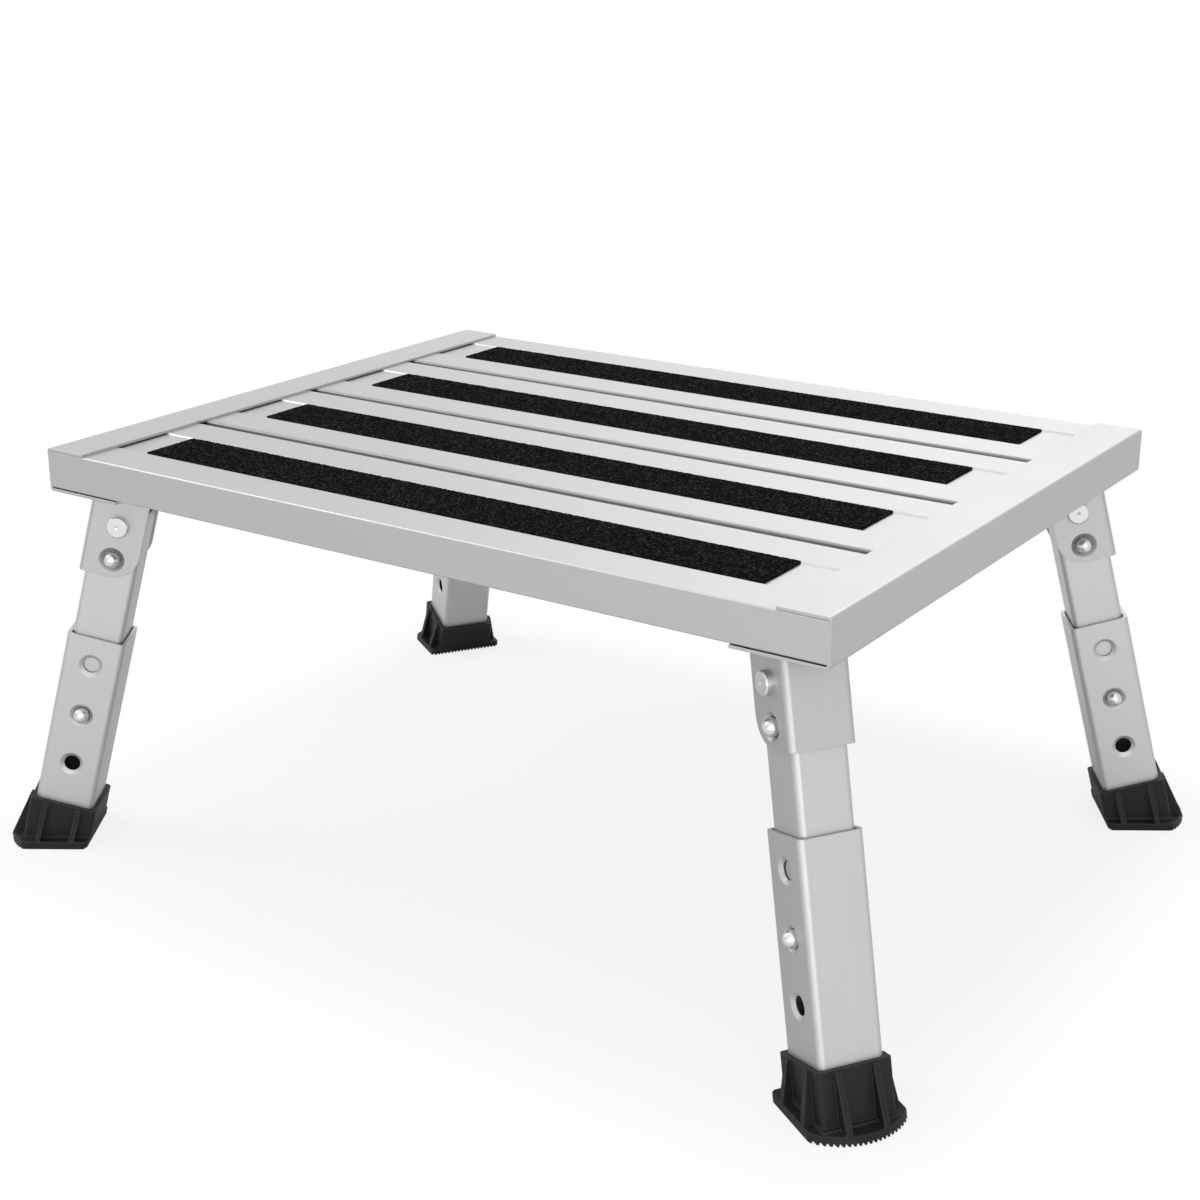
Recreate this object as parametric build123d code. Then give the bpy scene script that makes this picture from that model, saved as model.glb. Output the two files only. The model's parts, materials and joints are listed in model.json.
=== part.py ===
from build123d import *
import os
from math import asin, cos, radians, sin, sqrt

# Folding entry step for a caravan door, in millimetres.
# Four hollow boards are held at their ends by two folded caps. Four telescopic legs hang from
# brackets under the caps, splayed towards the corners, and fold inwards under the boards.
# The origin is on the floor below the middle of the deck, +X along the boards, +Z up,
# and -Y is the side that a person steps up from.

# Deck
deck_length = 483.0
deck_width = 373.0
cap_height = 24.2
cap_wall = 1.5
cap_top_flange = 27.0
cap_bottom_flange = 50.0
cap_fold = 1.8
board_count = 4
board_gap = 5.0
board_wall = 1.6
board_edge = 1.0
board_floor_gap = 0.5
recess_width = 38.0
recess_depth = 0.8
recess_slope = 0.8
strip_length = 386.0
strip_side_gap = 1.0
strip_thickness = 1.2
strip_corner = 1.5

# Stance of the legs
leg_plan_angle = 33.15
leg_lean = 15.0
pivot_inset_x = 28.0
pivot_inset_y = 26.5
pivot_drop = 17.6

# Tubes of a leg, with places measured down the leg from the pivot
inner_tube_size = 28.0
inner_tube_wall = 2.0
inner_tube_head = 7.0
inner_tube_end = 132.0
outer_tube_wall = 2.0
outer_tube_length = 119.0
tube_inside_corner = 1.0
tube_clearance = 0.5
lock_place = 20.2
height_button_place = 116.7
height_hole_pitch = 31.2
height_hole_count = 3
top_hole_inset = 16.5

# Snap clip: a hairpin of spring strip with a domed button on each arm
button_diameter = 8.8
button_dome = 4.3
button_proud = 4.5
button_flange_diameter = 11.5
button_flange = 1.2
button_clearance = 0.15
clip_strip = 0.8
clip_width = 9.0
clip_arm = 36.0
clip_tip = 6.0
outer_hole_diameter = 9.2
outer_hole_mouth = 13.4
outer_hole_sink = 1.4

# Leg bracket, folded from one plate
bracket_plate = 2.5
bracket_bend = 0.5
ear_clearance = 0.2
web_clearance = 0.4
ear_margin = 10.0
ear_round = 15.0
ear_button_gap = 0.4
ear_hole_diameter = 10.0
ear_hole_mouth = 14.4
ear_hole_sink = 1.8
base_tab = 2.0
base_slit = 0.5

# Pivot rivet and the countersunk rivets that hold the bracket
pivot_diameter = 8.0
pivot_clearance = 0.1
pivot_head_diameter = 12.0
pivot_head_band = 2.6
pivot_head_height = 3.2
pivot_head_flat = 10.8
pivot_dimple_diameter = 2.6
pivot_dimple_depth = 0.7
rivet_diameter = 4.8
rivet_head_diameter = 8.4
rivet_head_depth = 1.6
rivet_bulb_diameter = 7.2
rivet_bulb_height = 3.0
rivet_clearance = 0.1
rivet_inner_place = 13.0
rivet_outer_place = 2.0

# Foot, a moulded boot with gussets and a ridged sole
boot_wall = 2.4
boot_corner = 2.0
socket_clearance = 0.1
socket_depth = 14.5
foot_base = 11.9
sole_width = 50.6
sole_straight = 17.5
sole_bulge = 11.0
sole_thickness = 4.4
sole_corner = 3.0
sole_toe_corner = 5.0
sole_edge = 0.6
skirt = 0.9
gusset_width = 3.0
gusset_spacing = 19.0
gusset_lip = 1.5
gusset_drop = 0.8
gusset_inset = 0.8
tread_pitch = 2.5
tread_depth = 1.2
tread_tip = 0.9

# Sizes worked out from those above
lean_cos = cos(radians(leg_lean))
lean_sin = sin(radians(leg_lean))
plan_cos = cos(radians(leg_plan_angle))
plan_sin = sin(radians(leg_plan_angle))

outer_tube_size = inner_tube_size + 2 * (tube_clearance + outer_tube_wall)
outer_tube_top = height_button_place - height_hole_pitch - top_hole_inset
outer_tube_bottom = outer_tube_top + outer_tube_length
leg_length = outer_tube_bottom + foot_base
pivot_height = leg_length * lean_cos
pivot_x = deck_length / 2 - pivot_inset_x
pivot_y = deck_width / 2 - pivot_inset_y

cap_bottom = pivot_height + pivot_drop
cap_top = cap_bottom + cap_height
board_top = cap_top - cap_wall
board_bottom = cap_bottom + cap_wall + board_floor_gap
board_height = board_top - board_bottom
board_width = (deck_width - (board_count - 1) * board_gap) / board_count
board_length = deck_length - 2 * cap_wall

button_radius = button_diameter / 2
button_tip = outer_tube_size / 2 + button_proud
button_travel = button_tip - inner_tube_size / 2 + 2 * button_clearance
inner_face = inner_tube_size / 2 - inner_tube_wall
flange_seat = inner_face - button_clearance
clip_face = flange_seat - button_flange

ear_face = inner_tube_size / 2 + ear_clearance
bracket_side = ear_face + bracket_plate
web_face = inner_tube_size / 2 + web_clearance
web_back = web_face + bracket_plate
ear_reach = lock_place * lean_cos - button_radius - ear_button_gap
bracket_tail = lock_place + ear_margin

socket_size = outer_tube_size + 2 * socket_clearance
boot_size = socket_size + 2 * boot_wall
boot_rim = outer_tube_bottom - socket_depth

LEGS = {
    "front_left": (-1, -1),
    "front_right": (1, -1),
    "rear_left": (-1, 1),
    "rear_right": (1, 1),
}


# Frames and small helpers
def leg_plane(side_x, side_y):
    """Frame of one leg: origin at its pivot, X outwards across the leg, Y along the hinge, Z up the leg."""
    outward = Vector(side_x * plan_cos, side_y * plan_sin, 0)
    across = outward * lean_cos + Vector(0, 0, lean_sin)
    upward = Vector(0, 0, lean_cos) - outward * lean_sin
    return Plane(origin=(side_x * pivot_x, side_y * pivot_y, pivot_height), x_dir=across, z_dir=upward)


def level_plane(height):
    """Horizontal plane at a height above the pivot, in the leg's own frame, with X pointing outwards."""
    return Plane(
        origin=(height * lean_sin, 0, height * lean_cos),
        x_dir=(lean_cos, 0, -lean_sin),
        z_dir=(lean_sin, 0, lean_cos),
    )


def level_reach(across, height):
    """Level distance outwards from the pivot to a face that lies at a given distance across the leg."""
    return (across - height * lean_sin) / lean_cos


def sideways(side, place=0.0):
    """Turn a piece that stands on the mid-plane so that it points along the hinge, at a place down the leg."""
    return Pos(0, 0, -place) * Rot(-90 * side, 0, 0)


def drilled(diameter, reach):
    """Drill of a given diameter right through the leg, along the hinge."""
    return Rot(90, 0, 0) * Cylinder(diameter / 2, 2 * reach)


def countersunk(diameter, mouth, depth, face):
    """Cutter for a hole whose mouth is opened out at an outer face, standing on the leg's mid-plane."""
    cone = Pos(0, 0, face - depth / 2) * Cone(diameter / 2, mouth / 2, depth)
    return cone + Pos(0, 0, face / 2) * Cylinder(diameter / 2, face)


def dome_edge(radius, shoulder, tip):
    """Arc in the XZ plane from a shoulder out at a radius to a tip on the Z axis."""
    rise = tip - shoulder
    sphere = (radius**2 + rise**2) / (2 * rise)
    half = asin(radius / sphere) / 2
    middle = (sphere * sin(half), 0, tip - sphere + sphere * cos(half))
    return ThreePointArc((radius, 0, shoulder), middle, (0, 0, tip))


def square_tube(size, wall, top, bottom):
    """Square tube along Z between two places down the leg, with rounded corners."""
    section = RectangleRounded(size, size, tube_inside_corner + wall)
    section -= RectangleRounded(size - 2 * wall, size - 2 * wall, tube_inside_corner)
    return Pos(0, 0, -bottom) * extrude(section, amount=bottom - top)


def rivet_places(side_x, side_y):
    """Plan positions of the two rivets that hold one leg's bracket."""
    reaches = (-rivet_inner_place, rivet_outer_place)
    return [
        (side_x * (pivot_x + reach * plan_cos), side_y * (pivot_y + reach * plan_sin))
        for reach in reaches
    ]


ALL_RIVETS = [place for sides in LEGS.values() for place in rivet_places(*sides)]


# Deck
def board_middle(index):
    """Y of the middle line of a board, counted from the front."""
    return -deck_width / 2 + board_width / 2 + index * (board_width + board_gap)


def make_board(index):
    """One hollow extruded board with a shallow sloped recess for its grip strip and a web down its middle."""
    section = RectangleRounded(board_width, board_height, board_edge)
    mouth = recess_width / 2
    bed = mouth - recess_slope
    recess = make_face(
        Polyline((-mouth, 0), (-bed, -recess_depth), (bed, -recess_depth), (mouth, 0), close=True)
    )
    section -= Pos(0, board_height / 2) * recess
    ceiling = board_height / 2 - board_wall - recess_depth
    floor = -board_height / 2 + board_wall
    hollow_width = (board_width - 3 * board_wall) / 2
    for side in (-1, 1):
        middle = side * (board_wall + hollow_width) / 2
        section -= Pos(middle, (ceiling + floor) / 2) * Rectangle(hollow_width, ceiling - floor)
    board = extrude(Plane.YZ * section, amount=board_length / 2, both=True)
    board = Pos(0, board_middle(index), board_bottom + board_height / 2) * board
    for x, y in ALL_RIVETS:
        if abs(y - board_middle(index)) < board_width / 2:
            hole = Cylinder(rivet_diameter / 2 + rivet_clearance, 4 * board_wall)
            board -= Pos(x, y, board_bottom) * hole
    return board


def make_strip(index):
    """Grip strip that lies in a board's recess and stands a little above the board."""
    width = recess_width - 2 * strip_side_gap
    strip = extrude(RectangleRounded(strip_length, width, strip_corner), amount=strip_thickness)
    return Pos(0, board_middle(index), board_top - recess_depth) * strip


def make_cap(side):
    """End cap folded from sheet: an upright wall with a short flange above the boards and a long one below."""
    section = make_face(
        Polyline(
            (-cap_bottom_flange, 0),
            (0, 0),
            (0, cap_height),
            (-cap_top_flange, cap_height),
            (-cap_top_flange, cap_height - cap_wall),
            (-cap_wall, cap_height - cap_wall),
            (-cap_wall, cap_wall),
            (-cap_bottom_flange, cap_wall),
            close=True,
        )
    )
    section = fillet(section.vertices().group_by(Axis.X)[-1], cap_fold)
    cap = extrude(Plane.XZ * section, amount=deck_width / 2, both=True)
    cap = Pos(deck_length / 2, 0, cap_bottom) * cap
    if side < 0:
        cap = Rot(0, 0, 180) * cap
    for x, y in ALL_RIVETS:
        if x * side > 0:
            cap -= Pos(x, y, cap_bottom) * Cylinder(rivet_diameter / 2 + rivet_clearance, 4 * cap_wall)
    return cap


# Leg pieces, each made once in the leg's own frame
def make_bracket():
    """Plate folded into two ears and an outer web, with a base under the cap and snap holes in the ears."""
    length = ear_reach + web_back
    middle = (web_back - ear_reach) / 2
    section = Pos(middle, 0) * Rectangle(length, 2 * bracket_side)
    outer = section.vertices().group_by(Axis.X)[-1]
    section = fillet(outer, bracket_bend + bracket_plate)
    opening = Pos(middle - bracket_plate, 0) * Rectangle(length, 2 * ear_face)
    inner = opening.vertices().group_by(Axis.X)[-1]
    section -= fillet(inner, bracket_bend)
    tall = bracket_tail + 2 * (pivot_drop + ear_reach)
    bracket = Pos(0, 0, -bracket_tail) * extrude(section, amount=tall)
    toe = bracket.edges().filter_by(Axis.Y).group_by(Axis.Z)[0].group_by(Axis.X)[0]
    bracket = fillet(toe, ear_round)
    bracket = split(bracket, bisect_by=level_plane(pivot_drop), keep=Keep.BOTTOM)

    base_in = level_reach(-ear_reach, pivot_drop) - base_tab
    base_out = level_reach((web_face + web_back) / 2, pivot_drop - bracket_plate / 2)
    base = Pos((base_in + base_out) / 2, 0) * Rectangle(base_out - base_in, 2 * (ear_face - base_slit))
    bracket += extrude(level_plane(pivot_drop - bracket_plate) * base, amount=bracket_plate)

    bracket -= drilled(pivot_diameter + 2 * pivot_clearance, bracket_side)
    snap_hole = countersunk(ear_hole_diameter, ear_hole_mouth, ear_hole_sink, bracket_side)
    for side in (-1, 1):
        bracket -= sideways(side, lock_place) * snap_hole
    under = level_plane(pivot_drop - bracket_plate).location
    for reach in (-rivet_inner_place, rivet_outer_place):
        bracket -= under * Pos(reach, 0, 0) * rivet_body(rivet_clearance)
    return bracket


def rivet_body(growth):
    """Countersunk head and shank of a bracket rivet, standing on the base's lower face, grown all round."""
    shank = rivet_diameter / 2 + growth
    head = rivet_head_diameter / 2 + growth
    stack = bracket_plate + cap_wall + board_floor_gap + board_wall
    cone = Pos(0, 0, rivet_head_depth / 2) * Cone(head, shank, rivet_head_depth)
    return cone + Pos(0, 0, stack / 2) * Cylinder(shank, stack)


def make_bracket_rivets():
    """The two rivets that pass through a bracket's base, the cap and the board, with their set ends."""
    stack = bracket_plate + cap_wall + board_floor_gap + board_wall
    bulb = Pos(0, 0, stack + rivet_bulb_height / 2) * Cylinder(rivet_bulb_diameter / 2, rivet_bulb_height)
    rivet = rivet_body(0) + chamfer(bulb.edges().sort_by(Axis.Z)[-1], rivet_bulb_height / 3)
    under = level_plane(pivot_drop - bracket_plate).location
    return [under * Pos(reach, 0, 0) * rivet for reach in (-rivet_inner_place, rivet_outer_place)]


def make_pivot_rivet():
    """Pivot of a leg: a plain shank with a low dimpled head outside each ear."""
    band = bracket_side + pivot_head_band
    top = bracket_side + pivot_head_height
    outline = Polyline(
        (0, 0, 0),
        (pivot_diameter / 2, 0, 0),
        (pivot_diameter / 2, 0, bracket_side),
        (pivot_head_diameter / 2, 0, bracket_side),
        (pivot_head_diameter / 2, 0, band),
        (pivot_head_flat / 2, 0, top),
        (pivot_dimple_diameter / 2, 0, top),
        (0, 0, top - pivot_dimple_depth),
        close=True,
    )
    half = revolve(make_face(outline), Axis.Z)
    return sideways(1) * half + sideways(-1) * half


def make_inner_tube():
    """Upper tube of a leg, with a rounded head that turns in the bracket, drilled for pivot and buttons."""
    tube = square_tube(inner_tube_size, inner_tube_wall, -inner_tube_head, inner_tube_end)
    length = inner_tube_head + inner_tube_end
    side_view = Pos(0, inner_tube_head - length / 2) * Rectangle(inner_tube_size, length)
    head_corners = side_view.vertices().group_by(Axis.Y)[-1]
    side_view = fillet(head_corners, inner_tube_head)
    tube &= extrude(Plane.XZ * side_view, amount=inner_tube_size, both=True)
    tube -= drilled(pivot_diameter + 2 * pivot_clearance, inner_tube_size)
    for place in (lock_place, height_button_place):
        tube -= Pos(0, 0, -place) * drilled(button_diameter + 2 * button_clearance, inner_tube_size)
    return tube


def make_outer_tube():
    """Lower tube of a leg, with a row of countersunk height holes on both sides."""
    tube = square_tube(outer_tube_size, outer_tube_wall, outer_tube_top, outer_tube_bottom)
    hole = countersunk(outer_hole_diameter, outer_hole_mouth, outer_hole_sink, outer_tube_size / 2)
    for index in range(height_hole_count):
        place = outer_tube_top + top_hole_inset + index * height_hole_pitch
        for side in (-1, 1):
            tube -= sideways(side, place) * hole
    return tube


def make_clip_spring(place, turn):
    """Hairpin of spring strip with its two arms behind the buttons at a place down the leg.

    The bend lies below the buttons where turn is 1, and above them where it is -1.
    """
    arms = Pos(0, clip_arm / 2 - clip_tip)
    bend = Pos(0, clip_arm - clip_tip)
    bore = clip_face - clip_strip
    outer = arms * Rectangle(2 * clip_face, clip_arm) + bend * Circle(clip_face)
    inner = arms * Rectangle(2 * bore, clip_arm) + bend * Circle(bore)
    spring = extrude(Plane.YZ * (outer - inner), amount=clip_width / 2, both=True)
    return Pos(0, 0, -place) * (Rot(180, 0, 0) * spring if turn > 0 else spring)


def make_button(place, side):
    """Domed snap button with a flange that stops it inside the tube wall."""
    shoulder = button_tip - button_dome
    outline = Polyline(
        (0, 0, button_tip),
        (0, 0, clip_face),
        (button_flange_diameter / 2, 0, clip_face),
        (button_flange_diameter / 2, 0, flange_seat),
        (button_radius, 0, flange_seat),
        (button_radius, 0, shoulder),
    )
    profile = make_face(outline.edges() + [dome_edge(button_radius, shoulder, button_tip)])
    return sideways(side, place) * revolve(profile, Axis.Z)


def sole_arc_radius():
    """Radius of the rounded outer end of the sole."""
    return ((sole_width / 2) ** 2 + sole_bulge**2) / (2 * sole_bulge)


def sole_point(reach, height):
    """Point in the leg's XZ plane at a level distance from the leg's axis and a height above the floor."""
    x = reach * lean_cos + height * lean_sin
    z = -leg_length - reach * lean_sin + height * lean_cos
    return x, z


def make_sole(floor):
    """Sole plate: straight sides, a rounded toe, a heel in line with the boot and eased top edges."""
    half = sole_width / 2
    heel = -boot_size / 2 / lean_cos
    sides = Polyline((sole_straight, -half), (heel, -half), (heel, half), (sole_straight, half))
    toe = ThreePointArc((sole_straight, half), (sole_straight + sole_bulge, 0), (sole_straight, -half))
    outline = make_face(sides.edges() + [toe])
    outline = fillet(outline.vertices().group_by(Axis.X)[-1], sole_toe_corner)
    outline = fillet(outline.vertices().group_by(Axis.X)[0], sole_corner)
    sole = extrude(floor * outline, amount=sole_thickness / lean_cos, dir=(0, 0, 1))
    top = sole.faces().sort_by(Axis(floor.origin, floor.z_dir))[-1]
    return fillet(top.edges(), sole_edge)


def make_gussets():
    """Gussets on the two hinge sides and the outer side, spreading from under the rim to the sole's edge."""
    root = (boot_size - boot_wall) / 2
    lip = boot_size / 2 + gusset_lip
    top = -boot_rim - gusset_drop
    edge = sole_width / 2 - gusset_inset
    gussets = []
    for offset in (-gusset_spacing / 2, gusset_spacing / 2):
        foot_z = -leg_length + (sole_thickness - offset * lean_sin) / lean_cos
        low = foot_z - sole_thickness
        rib = make_face(
            Polyline((root, top), (lip, top), (edge, foot_z), (edge, low), (root, low), close=True)
        )
        rib = extrude(Plane.YZ * rib, amount=gusset_width / 2, both=True)
        gussets.append(Pos(offset, 0, 0) * rib)
        gussets.append(Pos(offset, 0, 0) * mirror(rib, about=Plane.XZ))

        arc = sole_arc_radius()
        reach = sole_straight + sole_bulge - arc + sqrt(arc**2 - offset**2) - gusset_inset
        toe_x, toe_z = sole_point(reach, sole_thickness)
        low = toe_z - sole_thickness
        rib = make_face(
            Polyline((root, top), (lip, top), (toe_x, toe_z), (toe_x, low), (root, low), close=True)
        )
        rib = extrude(Plane.XZ * rib, amount=gusset_width / 2, both=True)
        gussets.append(Pos(0, offset, 0) * rib)
    return gussets


def make_tread(floor):
    """Grooves between the ridges of the sole, running outwards from the leg."""
    half_mouth = (tread_pitch - tread_tip) / 2
    count = int(sole_width / tread_pitch)
    grooves = Sketch()
    for index in range(count):
        middle = (index - (count - 1) / 2) * tread_pitch
        grooves += make_face(
            Polyline(
                (middle - half_mouth, -tread_depth),
                (middle - half_mouth, 0),
                (middle - half_mouth / 2, tread_depth),
                (middle + half_mouth / 2, tread_depth),
                (middle + half_mouth, 0),
                (middle + half_mouth, -tread_depth),
                close=True,
            )
        )
    across = Plane(origin=floor.origin, x_dir=(0, 1, 0), z_dir=floor.x_dir)
    return extrude(across * grooves, amount=sole_width, both=True)


def make_foot():
    """Moulded boot: a socket for the outer tube on a level sole, stiffened by gussets."""
    floor = Plane(origin=(0, 0, -leg_length), x_dir=(lean_cos, 0, -lean_sin), z_dir=(lean_sin, 0, lean_cos))
    inside_sole = floor.offset(sole_thickness / 2)
    below = leg_length + boot_size
    outline = RectangleRounded(boot_size, boot_size, boot_corner)
    body = Pos(0, 0, -below) * extrude(outline, amount=below - boot_rim)
    for gusset in make_gussets():
        body += gusset
    body = split(body, bisect_by=inside_sole, keep=Keep.TOP)
    hem = offset(Rectangle(boot_size, boot_size), skirt)
    hem = Pos(skirt, 0, -below) * extrude(hem, amount=below - boot_rim)
    hem = split(hem, bisect_by=inside_sole, keep=Keep.TOP)
    hem = split(hem, bisect_by=floor.offset(sole_thickness + skirt), keep=Keep.BOTTOM)
    foot = make_sole(floor) + body + hem
    socket = RectangleRounded(socket_size, socket_size, tube_inside_corner + outer_tube_wall)
    foot -= Pos(0, 0, -outer_tube_bottom) * extrude(socket, amount=2 * socket_depth)
    return foot - make_tread(floor)


# Whole step
def write(name, shape):
    """Write one named piece, or a group of like pieces, to its own file."""
    if isinstance(shape, list):
        shape = Compound(children=shape)
    export_step(shape, f"parts/{name}.step")


def main():
    """Build every piece in place and write it."""
    os.makedirs("parts", exist_ok=True)
    for index in range(board_count):
        write(f"deck_board_{index + 1}", make_board(index))
        write(f"grip_strip_{index + 1}", make_strip(index))
    write("end_cap_left", make_cap(-1))
    write("end_cap_right", make_cap(1))

    leg_pieces = {
        "bracket": make_bracket(),
        "pivot_rivet": make_pivot_rivet(),
        "bracket_rivets": make_bracket_rivets(),
        "inner_tube": make_inner_tube(),
        "outer_tube": make_outer_tube(),
        "foot": make_foot(),
        "fold_spring": make_clip_spring(lock_place, 1),
        "fold_button_1": make_button(lock_place, 1),
        "fold_button_2": make_button(lock_place, -1),
        "height_spring": make_clip_spring(height_button_place, -1),
        "height_button_1": make_button(height_button_place, 1),
        "height_button_2": make_button(height_button_place, -1),
    }
    for leg, sides in LEGS.items():
        place = leg_plane(*sides).location
        for piece, shape in leg_pieces.items():
            placed = [place * solid for solid in shape] if isinstance(shape, list) else place * shape
            write(f"{leg}_{piece}", placed)


main()
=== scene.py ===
"""Looks of a folding caravan step: satin metals, gritty strips, moulded feet, floor, light and camera."""

import json
import logging
import math
import random
from collections.abc import Iterable, Mapping
from dataclasses import dataclass, field
from enum import Enum
from typing import Any

import bmesh
import bpy
from mathutils import Euler, Matrix, Vector

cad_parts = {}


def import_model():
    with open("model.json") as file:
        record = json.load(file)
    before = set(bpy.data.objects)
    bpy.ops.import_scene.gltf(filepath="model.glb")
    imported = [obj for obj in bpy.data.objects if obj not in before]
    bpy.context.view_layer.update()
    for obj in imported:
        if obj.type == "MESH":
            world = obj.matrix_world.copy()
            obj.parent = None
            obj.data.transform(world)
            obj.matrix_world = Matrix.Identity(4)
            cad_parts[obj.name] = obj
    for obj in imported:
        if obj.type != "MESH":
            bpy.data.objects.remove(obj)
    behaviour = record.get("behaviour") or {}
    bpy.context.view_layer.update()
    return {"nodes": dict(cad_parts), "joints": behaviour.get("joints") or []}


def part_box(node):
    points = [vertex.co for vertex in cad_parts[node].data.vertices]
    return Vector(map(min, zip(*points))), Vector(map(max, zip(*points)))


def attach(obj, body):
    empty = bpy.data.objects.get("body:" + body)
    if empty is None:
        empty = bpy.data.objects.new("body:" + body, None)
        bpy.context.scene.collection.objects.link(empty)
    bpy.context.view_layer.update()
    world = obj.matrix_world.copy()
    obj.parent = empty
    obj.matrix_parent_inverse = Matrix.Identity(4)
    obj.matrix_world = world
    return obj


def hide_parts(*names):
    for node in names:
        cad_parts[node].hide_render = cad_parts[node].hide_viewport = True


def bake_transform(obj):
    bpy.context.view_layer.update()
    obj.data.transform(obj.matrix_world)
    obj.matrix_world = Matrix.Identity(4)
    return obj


Colour = tuple[float, float, float]
Place = tuple[float, float, float]
Span = tuple[float, float]

LOG = logging.getLogger("entry_step")
WHITE = (1.0, 1.0, 1.0, 1.0)
QUARTER_TURN = math.radians(90.0)

# Half side of a grid one metre wide, before it is scaled to its piece.
UNIT_HALF = 0.5

# Middle value of a noise, and ranges that hold most values of a soft noise and of the fine lines.
NOISE_MIDDLE = 0.5
SOFT_SPAN: Span = (0.3, 0.7)
LINE_SPAN: Span = (0.25, 0.75)


class Corner(Enum):
    """Corner of the deck that a leg stands at, with its side along X and along Y."""

    FRONT_LEFT = (-1, -1)
    FRONT_RIGHT = (1, -1)
    REAR_LEFT = (-1, 1)
    REAR_RIGHT = (1, 1)

    @property
    def label(self) -> str:
        """Name of the corner as the nodes spell it."""
        return self.name.lower()


class Clip(Enum):
    """Snap clip in a leg, named for the motion that it locks."""

    FOLD = "fold"
    HEIGHT = "height"


class LineWay(Enum):
    """Way that the drawing lines run on the deck's metal."""

    ALONG_BOARDS = (1.0, 0.0, 0.0)
    ACROSS_BOARDS = (0.0, 1.0, 0.0)


class NodeSheet:
    """Node tree with short calls that add, set and join nodes."""

    def __init__(self, tree: bpy.types.NodeTree) -> None:
        """Keep the tree that the calls work on."""
        self.tree = tree

    def node(
        self, kind: str, inputs: Mapping[Any, Any] | None = None, **settings: Any
    ) -> bpy.types.Node:
        """Add one node.

        Args:
            kind: Blender's type name of the node.
            inputs: Values or sockets for its inputs, by name or index.
            **settings: Properties of the node itself.

        Returns:
            The new node.
        """
        made = self.tree.nodes.new(kind)
        for name, value in settings.items():
            setattr(made, name, value)
        for name, value in (inputs or {}).items():
            self.feed(made.inputs[name], value)
        return made

    def feed(self, socket: bpy.types.NodeSocket, value: Any) -> None:
        """Join a socket to an input, or set a plain value on it.

        Args:
            socket: The input.
            value: A socket to join, or the value to set.
        """
        if isinstance(value, bpy.types.NodeSocket):
            self.tree.links.new(value, socket)
        else:
            socket.default_value = value

    def place(self) -> bpy.types.NodeSocket:
        """Place on a piece, in metres of the shared frame."""
        return self.node("ShaderNodeTexCoord").outputs["Object"]

    def vector(self, operation: str, first: Any, second: Any = (0.0, 0.0, 0.0)) -> bpy.types.NodeSocket:
        """Add one sum of two vectors.

        Args:
            operation: Blender's name of the sum.
            first: Vector or socket.
            second: Vector or socket.

        Returns:
            The resulting vector.
        """
        made = self.node("ShaderNodeVectorMath", {0: first, 1: second}, operation=operation)
        return made.outputs["Vector"]

    def math(
        self, operation: str, first: Any, second: Any = 0.0, clamp: bool = False
    ) -> bpy.types.NodeSocket:
        """Add one sum of two values.

        Args:
            operation: Blender's name of the sum.
            first: Value or socket.
            second: Value or socket.
            clamp: Whether the result is held between 0 and 1.

        Returns:
            The result.
        """
        made = self.node("ShaderNodeMath", {0: first, 1: second}, operation=operation, use_clamp=clamp)
        return made.outputs[0]

    def spread(
        self, value: Any, old: Span, new: tuple[Any, Any], smooth: bool = False
    ) -> bpy.types.NodeSocket:
        """Carry a value from one range to another, held at the new range's ends.

        Args:
            value: Socket to carry over.
            old: Range that it comes in.
            new: Range that it goes out in.
            smooth: Whether it eases in and out at the ends.

        Returns:
            The carried value.
        """
        inputs = {
            "Value": value,
            "From Min": old[0],
            "From Max": old[1],
            "To Min": new[0],
            "To Max": new[1],
        }
        way = "SMOOTHSTEP" if smooth else "LINEAR"
        return self.node("ShaderNodeMapRange", inputs, interpolation_type=way).outputs["Result"]

    def blend(self, factor: Any, first: Any, second: Any) -> bpy.types.NodeSocket:
        """Mix two colours.

        Args:
            factor: Share of the second colour.
            first: Colour or socket.
            second: Colour or socket.

        Returns:
            The mixed colour.
        """
        made = self.node("ShaderNodeMix", {"Factor": factor}, data_type="RGBA")
        colour_inputs = [socket for socket in made.inputs if socket.type == "RGBA"]
        for socket, value in zip(colour_inputs, (first, second)):
            self.feed(socket, value)
        return next(socket for socket in made.outputs if socket.type == "RGBA")

    def group(self, tree: bpy.types.NodeTree, inputs: Mapping[str, Any]) -> bpy.types.Node:
        """Place a shared effect.

        Args:
            tree: The effect's node group.
            inputs: Values or sockets for its inputs, by name.

        Returns:
            The placed group.
        """
        made = self.tree.nodes.new("ShaderNodeGroup")
        made.node_tree = tree
        for name, value in inputs.items():
            self.feed(made.inputs[name], value)
        return made


def rgba(colour: Colour) -> tuple[float, float, float, float]:
    """Opaque form of a colour."""
    return (*colour, 1.0)


def scaled(colour: Colour, factor: float) -> Colour:
    """Lighter or darker form of a colour."""
    return tuple(part * factor for part in colour)


def facing(place: Place, aim: Place) -> Euler:
    """Turn of a lamp or camera that stands at one place and faces another."""
    return (Vector(aim) - Vector(place)).to_track_quat("-Z", "Y").to_euler()


def show_shape(name: str, shape: bmesh.types.BMesh) -> bpy.types.Object:
    """Put a modelled shape in the scene.

    Args:
        name: Name of the piece.
        shape: Its shape, which is used up.

    Returns:
        The piece's object.
    """
    mesh = bpy.data.meshes.new(name)
    shape.to_mesh(mesh)
    shape.free()
    made = bpy.data.objects.new(name, mesh)
    bpy.context.scene.collection.objects.link(made)
    LOG.info("built %s with %d faces", name, len(mesh.polygons))
    return made


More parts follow.
